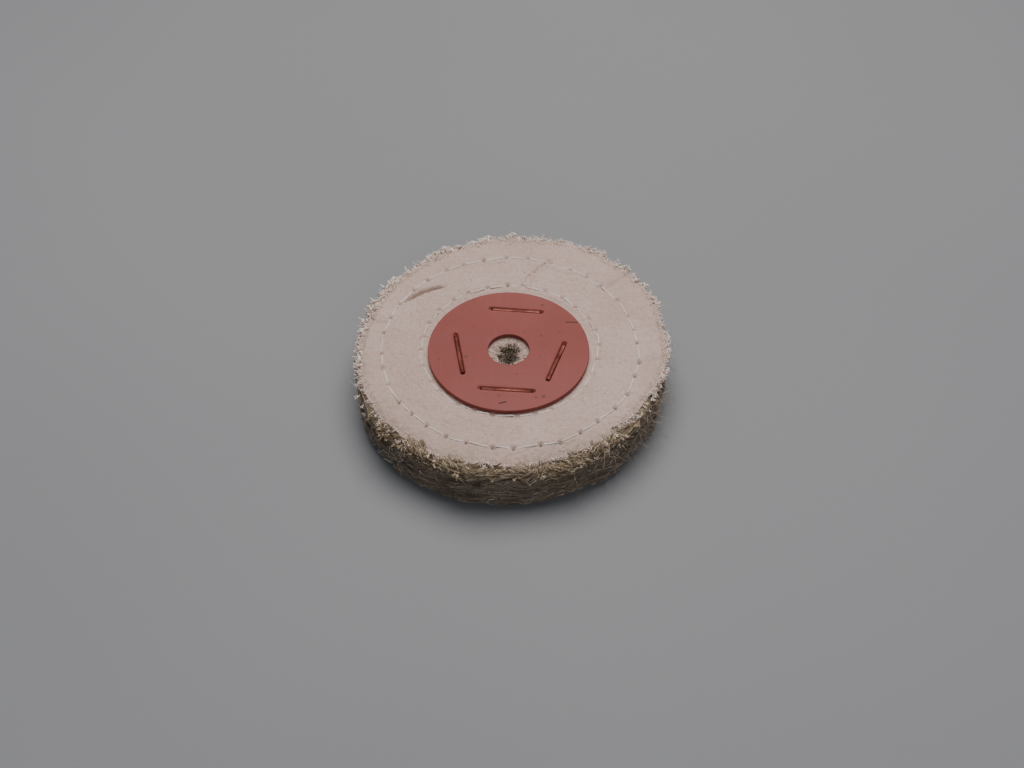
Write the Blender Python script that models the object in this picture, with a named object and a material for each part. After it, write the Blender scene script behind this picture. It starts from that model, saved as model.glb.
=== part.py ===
"""A sewn polishing wheel of sisal and cotton cloth, lying flat.

Cotton and sisal plies alternate, with cotton on both faces. Two rings of lockstitch hold
them together, and a fibre plate on each face is stapled through the pack. The spindle axis
is +Z and the origin is the wheel's centre, half way through its thickness. Metres.
"""

import math

import bmesh
import bpy

# Cloth
WHEEL_DIAMETER = 0.100
SPINDLE_BORE = 0.008
COTTON_THICKNESS = 0.00065
SISAL_THICKNESS = 0.0019
SISAL_PLIES = 5

# Fibre plates
PLATE_DIAMETER = 0.051
PLATE_THICKNESS = 0.0015
PLATE_BORE = 0.013

# Staples of flat wire. The sink is how far the wire lies below the plate's face.
CROWN_LENGTH = 0.0166
CLINCH_LENGTH = 0.0065
WIRE_WIDTH = 0.0012
WIRE_THICKNESS = 0.0006
BEND_RADIUS = 0.0003
STAPLE_SINK = 0.0001

# Each staple's angle round the wheel, its distance from the axis, and its own slant.
STAPLES = {
    "staple_1": (81.0, 0.0175, 1.5),
    "staple_2": (185.5, 0.0157, 2.0),
    "staple_3": (267.0, 0.0168, -3.5),
    "staple_4": (340.5, 0.0158, -2.0),
}

# Stitching. The inner ring keeps a margin to the plate, the outer one to the wheel's edge.
THREAD_WIDTH = 0.0007
THREAD_HEIGHT = 0.0005
INNER_RING_MARGIN = 0.0027
OUTER_RING_MARGIN = 0.0092
INNER_STITCHES = 28
OUTER_STITCHES = 36
INNER_START_ANGLE = 2.0
OUTER_START_ANGLE = 1.5

# Between any two pieces that lie on each other or pass through each other.
CLEARANCE = 0.0003

RIM_SEGMENTS = 48
PLATE_SEGMENTS = 64
BORE_SEGMENTS = 16
PLATE_BORE_SEGMENTS = 32
BEND_SEGMENTS = 2

# Worked out from the sizes above
COTTON_PLIES = SISAL_PLIES + 1
PACK_THICKNESS = (
    COTTON_PLIES * COTTON_THICKNESS
    + SISAL_PLIES * SISAL_THICKNESS
    + 2 * SISAL_PLIES * CLEARANCE
)
CLOTH_FACE = PACK_THICKNESS / 2
PLATE_INNER_FACE = CLOTH_FACE + CLEARANCE
PLATE_OUTER_FACE = PLATE_INNER_FACE + PLATE_THICKNESS
STAPLE_FACE = PLATE_OUTER_FACE - STAPLE_SINK
POCKET_FLOOR = STAPLE_FACE - WIRE_THICKNESS - CLEARANCE
INNER_RING_RADIUS = PLATE_DIAMETER / 2 + INNER_RING_MARGIN
OUTER_RING_RADIUS = WHEEL_DIAMETER / 2 - OUTER_RING_MARGIN
STITCH_RINGS = {
    "inner": (INNER_RING_RADIUS, INNER_STITCHES, INNER_START_ANGLE),
    "outer": (OUTER_RING_RADIUS, OUTER_STITCHES, OUTER_START_ANGLE),
}


def make_material(name, colour, roughness, metallic=0.0):
    material = bpy.data.materials.new(name)
    material.use_nodes = True
    shader = material.node_tree.nodes["Principled BSDF"]
    shader.inputs["Base Color"].default_value = (*colour, 1)
    shader.inputs["Roughness"].default_value = roughness
    shader.inputs["Metallic"].default_value = metallic
    return material


def add_object(name, shape, material, parent=None):
    """Turn a bmesh into an object, smooth where its faces meet at less than 40 degrees."""
    bmesh.ops.recalc_face_normals(shape, faces=shape.faces)
    mesh = bpy.data.meshes.new(name)
    shape.to_mesh(mesh)
    shape.free()
    mesh.shade_smooth()
    mesh.set_sharp_from_angle(angle=math.radians(40))
    if material:
        mesh.materials.append(material)
    item = bpy.data.objects.new(name, mesh)
    item.parent = parent
    bpy.context.collection.objects.link(item)
    return item


def circle(diameter, segments):
    """Corners of a circle round the axis."""
    turn = 2 * math.pi / segments
    return [
        (diameter / 2 * math.cos(i * turn), diameter / 2 * math.sin(i * turn))
        for i in range(segments)
    ]


def staple_place(staple, along, across):
    """World x and y of a point given along a staple's crown and outwards across it."""
    angle, distance, slant = STAPLES[staple]
    place, turn = math.radians(angle), math.radians(angle + slant)
    return (
        distance * math.cos(place) - along * math.sin(turn) + across * math.cos(turn),
        distance * math.sin(place) + along * math.cos(turn) + across * math.sin(turn),
    )


def staple_rectangle(staple, start, end, margin):
    """A rectangle as wide as the wire, from start to end along the crown, and its margin."""
    low, high = start - margin, end + margin
    half = WIRE_WIDTH / 2 + margin
    corners = ((low, -half), (high, -half), (high, half), (low, half))
    return [staple_place(staple, along, across) for along, across in corners]


def leg_slots():
    """The outline round each staple leg: two for each staple."""
    half = CROWN_LENGTH / 2
    slots = []
    for staple in STAPLES:
        slots.append(staple_rectangle(staple, -half, -half + WIRE_THICKNESS, CLEARANCE))
        slots.append(staple_rectangle(staple, half - WIRE_THICKNESS, half, CLEARANCE))
    return slots


def needle_triangle(radius, angle, margin=0.0):
    """The thread's three corners in a needle hole, or the hole's own with a margin."""
    depth = THREAD_WIDTH * math.sqrt(3) / 2
    grow = (depth / 3 + margin) / (depth / 3)
    inward, side = THREAD_WIDTH / 2 * grow, depth / 3
    corners = (
        (radius - inward, side - side * grow),
        (radius, side + 2 * side * grow),
        (radius + inward, side - side * grow),
    )
    return [
        (out * math.cos(angle) - past * math.sin(angle), out * math.sin(angle) + past * math.cos(angle))
        for out, past in corners
    ]


def stitch_angles(count, start):
    """The angle of each needle hole of a ring, in radians."""
    return [math.radians(start) + i * 2 * math.pi / count for i in range(count)]


def needle_holes():
    """The outline of every needle hole."""
    return [
        needle_triangle(radius, angle, CLEARANCE)
        for radius, count, start in STITCH_RINGS.values()
        for angle in stitch_angles(count, start)
    ]


def prism(shape, outline, bottom, top):
    """Add a closed upright block with this outline to a bmesh."""
    low = [shape.verts.new((x, y, bottom)) for x, y in outline]
    high = [shape.verts.new((x, y, top)) for x, y in outline]
    shape.faces.new(reversed(low))
    shape.faces.new(high)
    for i in range(len(outline)):
        j = (i + 1) % len(outline)
        shape.faces.new((low[i], low[j], high[j], high[i]))


def add_disc(name, outlines, bottom, thickness, material, parent):
    """A flat disc: the first outline is its edge, and the others are holes through it."""
    shape = bmesh.new()
    for outline in outlines:
        corners = [shape.verts.new((x, y, bottom)) for x, y in outline]
        for i, corner in enumerate(corners):
            shape.edges.new((corners[i - 1], corner))
    bmesh.ops.triangle_fill(shape, use_beauty=True, edges=shape.edges, normal=(0, 0, 1))
    raised = bmesh.ops.extrude_face_region(shape, geom=shape.faces)["geom"]
    corners = [item for item in raised if isinstance(item, bmesh.types.BMVert)]
    bmesh.ops.translate(shape, verts=corners, vec=(0, 0, thickness))
    return add_object(name, shape, material, parent)


def add_plies(materials, parent):
    """The cloth pack from its front face down: cotton and sisal in turn."""
    holes = [circle(SPINDLE_BORE, BORE_SEGMENTS), *leg_slots(), *needle_holes()]
    outlines = [circle(WHEEL_DIAMETER, RIM_SEGMENTS), *holes]
    top = CLOTH_FACE
    for i in range(COTTON_PLIES + SISAL_PLIES):
        if i % 2:
            name, kind, thickness = f"sisal_ply_{i // 2 + 1}", "sisal", SISAL_THICKNESS
        else:
            name, kind, thickness = f"inner_cotton_ply_{i // 2}", "cotton", COTTON_THICKNESS
        if i == 0:
            name = "front_cotton_ply"
        if i == 2 * SISAL_PLIES:
            name = "rear_cotton_ply"
        add_disc(name, outlines, top - thickness, thickness, materials[kind], parent)
        top -= thickness + CLEARANCE


def add_cutter(name, outlines, bottom, top):
    """Upright blocks that are cut away from a plate."""
    shape = bmesh.new()
    for outline in outlines:
        prism(shape, outline, bottom, top)
    cutter = add_object(name, shape, None)
    cutter.hide_render = True
    cutter.display_type = "WIRE"
    return cutter


def cut(item, cutter):
    boolean = item.modifiers.new(cutter.name, "BOOLEAN")
    boolean.operation = "DIFFERENCE"
    boolean.solver = "EXACT"
    boolean.object = cutter


def add_plates(materials, parent):
    """Both fibre plates, each with a pocket for every staple and slots for its legs."""
    half = CROWN_LENGTH / 2
    beyond = PLATE_THICKNESS
    outlines = [circle(PLATE_DIAMETER, PLATE_SEGMENTS), circle(PLATE_BORE, PLATE_BORE_SEGMENTS)]
    pockets = [staple_rectangle(staple, -half, half, CLEARANCE) for staple in STAPLES]
    reach = PLATE_OUTER_FACE + beyond
    slots = add_cutter("leg_slot_cutter", leg_slots(), -reach, reach)
    front_pockets = add_cutter("front_pocket_cutter", pockets, POCKET_FLOOR, reach)
    rear_pockets = add_cutter("rear_pocket_cutter", pockets, -reach, -POCKET_FLOOR)
    for name, bottom, cutter in (
        ("front_fibre_plate", PLATE_INNER_FACE, front_pockets),
        ("rear_fibre_plate", -PLATE_OUTER_FACE, rear_pockets),
    ):
        plate = add_disc(name, outlines, bottom, PLATE_THICKNESS, materials["fibre"], parent)
        cut(plate, cutter)
        cut(plate, slots)


def bend(centre, radius, start, turn):
    """Points of a quarter turn round a centre, in a staple's own plane."""
    step = math.copysign(math.pi / 2 / BEND_SEGMENTS, turn)
    return [
        (centre[0] + radius * math.cos(start + i * step), centre[1] + radius * math.sin(start + i * step))
        for i in range(BEND_SEGMENTS + 1)
    ]


def staple_outline():
    """The bent wire seen along its width: points of (along the crown, height)."""
    half = CROWN_LENGTH / 2
    tip = half - CLINCH_LENGTH
    outer = WIRE_THICKNESS + BEND_RADIUS
    along, up = half - outer, STAPLE_FACE - outer
    quarter = math.pi / 2
    right_out = bend((along, -up), outer, -quarter, 1) + bend((along, up), outer, 0, 1)
    right_in = bend((along, up), BEND_RADIUS, quarter, -1)
    right_in += bend((along, -up), BEND_RADIUS, 0, -1)
    tips = [(tip, -STAPLE_FACE + WIRE_THICKNESS), (tip, -STAPLE_FACE)]
    left_out = [(-x, z) for x, z in reversed(right_out)]
    left_in = [(-x, z) for x, z in reversed(right_in)]
    left_tips = [(-x, z) for x, z in reversed(tips)]
    return right_out + left_out + left_tips + left_in + right_in + tips


def add_staple(name, material, parent):
    """Flat wire: a crown on the front, two legs through the wheel, clinched on the rear."""
    shape = bmesh.new()
    outline = staple_outline()
    sides = []
    for across in (-WIRE_WIDTH / 2, WIRE_WIDTH / 2):
        sides.append(
            [shape.verts.new((*staple_place(name, along, across), z)) for along, z in outline]
        )
    shape.faces.new(sides[0])
    shape.faces.new(reversed(sides[1]))
    for i in range(len(outline)):
        shape.faces.new((sides[0][i], sides[0][i - 1], sides[1][i - 1], sides[1][i]))
    add_object(name, shape, material, parent)


def add_thread(name, ring, face, material, parent):
    """Half of a lockstitch: a ring on one face (1 front, -1 rear) with a leg in every hole.

    The needle thread's legs and the bobbin thread's legs meet half way through the wheel.
    """
    radius, count, start = STITCH_RINGS[ring]
    low = CLOTH_FACE + CLEARANCE
    high = low + THREAD_HEIGHT
    shape = bmesh.new()
    holes = []
    for angle in stitch_angles(count, start):
        inner, middle, outer = needle_triangle(radius, angle)
        legs = [shape.verts.new((*corner, face * low)) for corner in (inner, middle, outer)]
        feet = [
            shape.verts.new((*corner, face * CLEARANCE / 2)) for corner in (inner, middle, outer)
        ]
        tops = [shape.verts.new((*corner, face * high)) for corner in (inner, outer)]
        holes.append((legs, feet, tops))
    for i, (legs, feet, tops) in enumerate(holes):
        next_legs, _, next_tops = holes[(i + 1) % count]
        shape.faces.new((tops[0], tops[1], next_tops[1], next_tops[0]))
        shape.faces.new((legs[0], tops[0], next_tops[0], next_legs[0]))
        shape.faces.new((tops[1], legs[2], next_legs[2], next_tops[1]))
        shape.faces.new((legs[0], next_legs[0], next_legs[2], legs[2], legs[1]))
        shape.faces.new(feet)
        for j in range(3):
            shape.faces.new((legs[j - 1], legs[j], feet[j], feet[j - 1]))
    add_object(name, shape, material, parent)


def build_wheel():
    for item in list(bpy.data.objects):
        bpy.data.objects.remove(item)
    materials = {
        "cotton": make_material("cotton_cloth", (0.78, 0.72, 0.68), 0.95),
        "sisal": make_material("sisal_cloth", (0.50, 0.37, 0.20), 0.85),
        "fibre": make_material("vulcanised_fibre", (0.48, 0.15, 0.12), 0.45),
        "copper": make_material("coppered_steel", (0.62, 0.29, 0.17), 0.35, 1.0),
        "thread": make_material("sewing_thread", (0.82, 0.78, 0.72), 0.8),
    }
    wheel = bpy.data.objects.new("polishing_wheel", None)
    bpy.context.collection.objects.link(wheel)
    add_plies(materials, wheel)
    add_plates(materials, wheel)
    for name in STAPLES:
        add_staple(name, materials["copper"], wheel)
    for ring in STITCH_RINGS:
        add_thread(f"needle_thread_{ring}", ring, 1, materials["thread"], wheel)
        add_thread(f"bobbin_thread_{ring}", ring, -1, materials["thread"], wheel)


build_wheel()
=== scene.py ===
"""Looks of the sewn polishing wheel: draped cotton, coarse sisal, fibre plates, wire and thread.

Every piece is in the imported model's frame: metres, spindle axis +Z, origin at the wheel's
centre. Sizes and places come from the model's own nodes. A grid is an array of points,
[row][segment][xyz], with the segments running round the wheel.
"""

import math

import bpy
import numpy as np
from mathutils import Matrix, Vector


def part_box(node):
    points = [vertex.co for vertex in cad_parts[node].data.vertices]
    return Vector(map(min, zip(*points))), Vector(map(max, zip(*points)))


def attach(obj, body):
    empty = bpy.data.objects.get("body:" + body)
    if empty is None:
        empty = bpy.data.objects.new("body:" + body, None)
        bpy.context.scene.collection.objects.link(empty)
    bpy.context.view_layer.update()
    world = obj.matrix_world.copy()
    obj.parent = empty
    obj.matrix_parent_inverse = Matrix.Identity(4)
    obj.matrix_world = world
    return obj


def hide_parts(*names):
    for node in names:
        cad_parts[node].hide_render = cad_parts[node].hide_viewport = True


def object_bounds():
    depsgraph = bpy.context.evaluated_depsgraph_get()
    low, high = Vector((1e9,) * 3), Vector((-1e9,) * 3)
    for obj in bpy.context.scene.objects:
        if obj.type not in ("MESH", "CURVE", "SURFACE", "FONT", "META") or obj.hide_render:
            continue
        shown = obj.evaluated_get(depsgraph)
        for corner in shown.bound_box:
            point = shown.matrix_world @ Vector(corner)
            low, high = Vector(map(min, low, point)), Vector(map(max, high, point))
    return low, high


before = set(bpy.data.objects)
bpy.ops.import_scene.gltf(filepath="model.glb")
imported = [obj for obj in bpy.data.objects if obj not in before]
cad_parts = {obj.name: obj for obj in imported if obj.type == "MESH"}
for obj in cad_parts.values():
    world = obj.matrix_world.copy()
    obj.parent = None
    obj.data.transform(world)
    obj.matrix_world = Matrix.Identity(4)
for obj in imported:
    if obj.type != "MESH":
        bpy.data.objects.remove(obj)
cad_low, cad_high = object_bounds()

MM = 0.001
TURN = 2 * math.pi
BODY = "root"
FRONT, REAR = 1, -1

# Cloth
SEGMENTS = 576
DRAPE_SEGMENTS = 288
DRAPE_ROW = 0.7 * MM
DRAPE_SCALE = 20  # the cloth solver works on a wheel this many times larger
DRAPE_STEPS = 28
DRAPE_STRETCH = 0.009
DRAPE_WEIGHT = {FRONT: 1.0, REAR: 0.1}
COTTON_YARN_PITCH = 0.6 * MM
SISAL_YARN_PITCH = 2.7 * MM
FACE_PUFF = 1.0 * MM  # how far the cloth swells outside the plate
PLATE_TUCK = 0.5 * MM  # how far the draped cloth reaches under the plate
RING_SHIFT = (0.4 * MM, 1.5 * MM)  # how far off centre the rings were sewn

# How far loose fibres may reach: out, up, and down to just above the floor
HAIR_LIMIT = 55.5 * MM
HAIR_TOP = 11.5 * MM
HAIR_CLEARANCE = 0.25 * MM

# Cut edges, off centre and not round: the mean radius, then each wave's count, size and place,
# in mm and degrees
PACK_CUT = (48.3, (1, 1.2, 52), (2, 1.0, 40))
FACE_CUT = {FRONT: (48.4, (1, 3.9, 72), (2, 1.5, 45)), REAR: (47.9, (1, 1.6, 52), (2, 0.9, 40))}

# Stitching
THREAD_RADIUS = 0.28 * MM
THREAD_TWIST = 1.5 * MM  # the length of one turn of its two plies
THREAD_STEP = 0.25 * MM
STITCH_SINK = 0.35 * MM
NEEDLE_PIT = 1.5 * MM
PIN_RADIUS = 0.62 * MM  # the cloth is held within this distance of a needle hole

# Staples
WIRE_WIDTH = 1.2 * MM
WIRE_THICKNESS = 0.6 * MM
CLINCH_LENGTH = 6.5 * MM
WIRE_BEND = 0.6 * MM

# How many loose fibres of each kind
LINT = {FRONT: 2400, REAR: 500}
LINT_REACH = {FRONT: 1.0, REAR: 0.45}
INNER_LINT = 350
NAP = 1600
BORE_LINT = 230
SIDE_THREADS = 280
TORN_SISAL = (50, 420)  # round the punched hole: in the top sisal ply and in the next
STRAY_HAIRS = 40

# Places in the pack, counted from the front: plies whose rims show, and the ply in whose hole
# torn sisal shows
SHOWN_PLIES = 3
TORN_PLY = 2

# Knots of torn cotton: how many, between which angles in degrees, how far below the face and
# how far beyond the rim in mm, and their size
CRUMBS = (
    (80, (185, 350), 0.5, 2.0, 0.8),
    (26, (195, 335), 2.4, 2.6, 0.8),
    (170, (-15, 195), 0.25, 1.0, 1.35),
    (45, (115, 185), 0.3, 1.5, 1.6),
)

# Rings of sisal locks on the front: how far inside the edge in mm, and how many
LOCK_RINGS = ((1.6, 110), (2.6, 110), (3.8, 90))
LOCK_SPAN = (216, 320)

# Creases in the front cloth: start and end in mm, and depth in mm
KINKS = (
    ((13.4, 41.4), (9.8, 37.6), 0.75),
    ((9.8, 37.6), (7.0, 34.4), 0.85),
    ((6.6, 34.0), (5.6, 30.6), 1.3),
)

# Random seeds; what belongs to a ply counts up from its own
FACE_SEED = {FRONT: 100, REAR: 300}
PLY_SEED = 500
FRAY_SEED = 700
BORE_SEED = 720

# Camera and light
FOCAL_LENGTH = 49.5
CAMERA_ELEVATION = math.radians(48.61)
CAMERA_DISTANCE = 0.4349
CAMERA_TARGET = (0.00108, -0.01467)
FLOOR_HALF = 2.0
SKY = (0.80, 0.86, 0.95, 1)
SKY_STRENGTH = 0.16

# Lamps: name, place, size, power and colour
LAMPS = (
    ("overhead", (0.03, 0.22, 0.72), 0.65, 6.0, (1.0, 0.965, 0.945)),
    ("front_fill", (0.25, -0.75, 0.45), 0.7, 0.9, (0.97, 0.98, 1.0)),
)


# ---- numbers ----


def polar(radius, angle):
    """The x and y of these radii and angles."""
    return radius * np.cos(angle), radius * np.sin(angle)


def smooth(value, low, high):
    """0 below low, 1 above high, and a smooth step between."""
    share = np.clip((value - low) / (high - low), 0, 1)
    return share * share * (3 - 2 * share)


def bell(value, width):
    """1 at 0, and next to nothing beyond twice the width."""
    return np.exp(-((value / width) ** 2))


def wobble(angle, seed, low, high, size):
    """A smooth random curve round the wheel, with from low to high waves in a turn."""
    rng = np.random.default_rng(seed)
    total = np.zeros_like(angle)
    for count in range(low, high + 1):
        total += rng.normal() * np.cos(count * angle + rng.uniform(0, TURN))
    return size * total / math.sqrt((high - low + 1) / 2)


def ripple(x, y, seed, length, size, waves=14):
    """A smooth random surface whose ripples are about this long."""
    rng = np.random.default_rng(seed)
    total = np.zeros_like(x)
    for _ in range(waves):
        turn, phase = rng.uniform(0, TURN, 2)
        wave = TURN / (length * rng.uniform(0.7, 1.6))
        total += np.cos(wave * (x * math.cos(turn) + y * math.sin(turn)) + phase)
    return size * total / math.sqrt(waves / 2)


def segment_distance(x, y, start, end):
    """Distance in plan from a straight line between two points."""
    start, end = np.asarray(start), np.asarray(end)
    run = end - start
    share = ((x - start[0]) * run[0] + (y - start[1]) * run[1]) / (run @ run)
    share = np.clip(share, 0, 1)
    return np.hypot(x - start[0] - share * run[0], y - start[1] - share * run[1])


def unit(vectors):
    return vectors / np.maximum(np.linalg.norm(vectors, axis=-1, keepdims=True), 1e-12)


def sideways(vectors):
    """Level vectors a quarter turn to the left of these."""
    return np.stack([-vectors[:, 1], vectors[:, 0], 0 * vectors[:, 2]], axis=1)


def angles(count):
    return np.arange(count) * TURN / count


def headed(angle):
    """Unit vectors at these angles in plan."""
    return np.stack([*polar(1, angle), np.zeros_like(angle)], axis=1)


def cut_radius(angle, cut, seed, rough=0.3 * MM):
    """The radius of a cut edge: cut holds its mean and its waves, and rough its roughness."""
    mean, *waves = cut
    radius = np.full_like(angle, mean * MM)
    for count, size, place in waves:
        radius += size * MM * np.cos(count * (angle - math.radians(place)))
    return radius + wobble(angle, seed, 5, 13, rough) + wobble(angle, seed + 1, 20, 70, 0.6 * rough)


def rim_fall(radius, angle):
    """How far the front face hangs near its rim: hardly at the back, most in front."""
    edge = cut_radius(angle, FACE_CUT[FRONT], 0, 0)
    fall = smooth(radius, edge - 6.5 * MM, edge + 2.5 * MM) ** 1.15
    droop = (0.95 - 0.85 * np.sin(angle)) * MM
    return 1.6 * fall * droop * (1 + wobble(angle, 31, 3, 11, 0.22))


def face_swell(radius):
    """How far the front face stands above the cloth under the plate."""
    return FACE_PUFF * smooth(radius, PLATE_RADIUS, PLATE_RADIUS + 5 * MM)


# ---- measuring the model ----


def node_points(name):
    """The corners of a CAD node, [n][3]."""
    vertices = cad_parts[name].data.vertices
    points = np.empty(len(vertices) * 3)
    vertices.foreach_get("co", points)
    return points.reshape(-1, 3)


def needle_holes(thread):
    """Where a thread goes through the cloth, [n][2], in order round the wheel."""
    points = node_points(thread)
    feet = points[np.abs(points[:, 2]) < MM].round(6)[:, :2]
    feet = np.unique(feet, axis=0)
    order = np.argsort(np.arctan2(feet[:, 1], feet[:, 0]) % TURN)
    return feet[order].reshape(-1, 3, 2).mean(axis=1)


def staple_line(name):
    """The middle of a staple's crown, its direction and its length, in plan."""
    points = node_points(name)
    crown = points[points[:, 2] > points[:, 2].max() - 0.05 * MM][:, :2]
    middle = crown.mean(axis=0)
    direction = np.linalg.svd(crown - middle)[2][0]
    along = (points[:, :2] - middle) @ direction
    return middle, direction, np.ptp(along)


RINGS = ("inner", "outer")
PLATE_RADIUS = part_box("front_fibre_plate")[1][0]
PLATE_BORE = np.hypot(*node_points("front_fibre_plate")[:, :2].T).min()
PLATE_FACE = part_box("front_fibre_plate")[1][2]
PLATE_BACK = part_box("front_fibre_plate")[0][2]
CLOTH_BORE = np.hypot(*node_points("front_cotton_ply")[:, :2].T).min()
CLOTH_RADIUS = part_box("front_cotton_ply")[1][0]
CLOTH_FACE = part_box("front_cotton_ply")[1][2]
COTTON_THICKNESS = CLOTH_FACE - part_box("front_cotton_ply")[0][2]
FLOOR = cad_low[2]
STAPLES = {name: staple_line(name) for name in sorted(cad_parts) if name.startswith("staple")}
STAPLE_LENGTH = max(length for _, _, length in STAPLES.values())
STAPLE_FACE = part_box("staple_1")[1][2]


def sewn_holes(ring, seed):
    """A ring's needle holes, off centre and each a little out of place, as sewing leaves them."""
    holes = needle_holes(f"needle_thread_{ring}")
    rng = np.random.default_rng(seed)
    radius = np.hypot(holes[:, 0], holes[:, 1]) + rng.normal(0, 0.18 * MM, len(holes))
    angle = np.arctan2(holes[:, 1], holes[:, 0])
    angle += rng.normal(0, 0.55 * MM, len(holes)) / radius
    return np.stack(polar(radius, angle), axis=1) + RING_SHIFT


HOLES = {ring: sewn_holes(ring, 7 + i) for i, ring in enumerate(RINGS)}


# ---- meshes ----


def add_object(name, data):
    item = bpy.data.objects.new(name, data)
    bpy.context.collection.objects.link(item)
    return item


def add_mesh(name, vertices, quads, triangles=(), uvs=None):
    """A smooth mesh object from arrays. uvs has one pair for every corner of every face."""
    quads = np.asarray(quads, int).reshape(-1, 4)
    triangles = np.asarray(triangles, int).reshape(-1, 3)
    first = 4 * len(quads)
    mesh = bpy.data.meshes.new(name)
    mesh.vertices.add(len(vertices))
    mesh.vertices.foreach_set("co", np.asarray(vertices, np.float32).ravel())
    corners = np.concatenate([quads.ravel(), triangles.ravel()])
    starts = np.concatenate([np.arange(0, first, 4), first + np.arange(len(triangles)) * 3])
    mesh.loops.add(len(corners))
    mesh.loops.foreach_set("vertex_index", corners.astype(np.int32))
    mesh.polygons.add(len(starts))
    mesh.polygons.foreach_set("loop_start", starts.astype(np.int32))
    mesh.update(calc_edges=True)
    if uvs is not None:
        mesh.uv_layers.new(name="UVMap").uv.foreach_set("vector", np.asarray(uvs, np.float32).ravel())
    mesh.shade_smooth()
    return add_object(name, mesh)


def grid_faces(rows, segments, closed_rows):
    """Quads of a grid whose segments close into rings, and whose rows may close too."""
    row = np.arange(rows if closed_rows else rows - 1)[:, None]
    segment = np.arange(segments)[None, :]
    after, beside = (row + 1) % rows, (segment + 1) % segments
    corners = [row * segments + segment, after * segments + segment]
    corners += [after * segments + beside, row * segments + beside]
    return np.stack([c * np.ones((len(row), segments), int) for c in corners], axis=-1).reshape(-1, 4)


def fan(corners):
    """Triangles that fill a ring of corners."""
    return np.array([[0, i, i + 1] for i in range(1, corners - 1)])


def volume(vertices, quads):
    a, b, c, d = (vertices[quads[:, i]] for i in range(4))
    halves = np.einsum("ij,ij->i", a, np.cross(b, c)) + np.einsum("ij,ij->i", a, np.cross(c, d))
    return halves.sum() / 6


def add_ring_solid(name, grid):
    """A closed solid from a grid whose rows run once round its cross-section."""
    rows, segments, _ = grid.shape
    vertices = grid.reshape(-1, 3)
    quads = grid_faces(rows, segments, True)
    if volume(vertices, quads) < 0:
        quads = quads[:, ::-1]
    return add_mesh(name, vertices, quads)


class Strands:
    """Many thin closed tubes, gathered into one mesh."""

    def __init__(self):
        self.vertices, self.quads, self.triangles = [], [], []
        self.count = 0

    def add(self, centre, radius, sides=3):
        """Tubes along centre [n][points][3], with radius [n][points]."""
        number, points, _ = centre.shape
        level = np.clip(centre[:, :, 2:], FLOOR + HAIR_CLEARANCE, HAIR_TOP)
        centre = np.concatenate([centre[:, :, :2], level], axis=2)
        along = unit(np.gradient(centre, axis=1))
        side = unit(np.cross(along, np.array([0.31, 0.27, 0.91])))
        up = np.cross(along, side)
        turn = angles(sides)[None, None, :, None]
        ring = np.cos(turn) * side[:, :, None] + np.sin(turn) * up[:, :, None]
        vertices = centre[:, :, None] + ring * radius[:, :, None, None]
        base = self.count + np.arange(number)[:, None] * points * sides
        quads = (base[:, :, None] + grid_faces(points, sides, False)[None]).reshape(-1, 4)
        cap = fan(sides)
        ends = np.concatenate([cap, (points - 1) * sides + cap[:, ::-1]])
        self.vertices.append(vertices.reshape(-1, 3))
        self.quads.append(quads[:, ::-1])
        self.triangles.append((base[:, :, None] + ends[None]).reshape(-1, 3)[:, ::-1])
        self.count += number * points * sides

    def sprout(
        self, rng, root, heading, length, radius, droop=0.0, curl=0.0, points=5, sides=3, tip=0.45
    ):
        """Strands that leave root along heading, bend down and curl at random."""
        share = np.linspace(0, 1, points)[None, :, None]
        length = length[:, None, None]
        bend = rng.normal(0, 1, (len(root), 1, 3)) * curl
        bend[:, :, 2] -= droop
        centre = root[:, None] + length * (heading[:, None] * share + bend * share**2)
        wave = rng.normal(0, 1, (len(root), 1, 3)) * curl * 0.35
        centre = centre + length * wave * np.sin(share * rng.uniform(4, 9, (len(root), 1, 1)))
        far = np.linalg.norm(centre[:, :, :2], axis=2, keepdims=True)
        centre[:, :, :2] *= np.minimum(1, HAIR_LIMIT / far)
        taper = radius[:, None] * (1 - (1 - tip) * np.linspace(0, 1, points)[None, :])
        self.add(centre, taper, sides)

    def build(self, name):
        """The object, with a map that gives each face its own small cell."""
        quads, triangles = np.concatenate(self.quads), np.concatenate(self.triangles)
        total = len(quads) + len(triangles)
        across = math.ceil(math.sqrt(total))
        cell = np.stack([np.arange(total) % across, np.arange(total) // across], axis=1) / across
        square = np.array([[0.2, 0.2], [0.8, 0.2], [0.8, 0.8], [0.2, 0.8]]) / across
        quad_uvs = cell[: len(quads), None] + square[None]
        triangle_uvs = cell[len(quads) :, None] + square[None, :3]
        uvs = np.concatenate([quad_uvs.reshape(-1, 2), triangle_uvs.reshape(-1, 2)])
        return add_mesh(name, np.concatenate(self.vertices), quads, triangles, uvs)


# ---- materials ----


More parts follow.
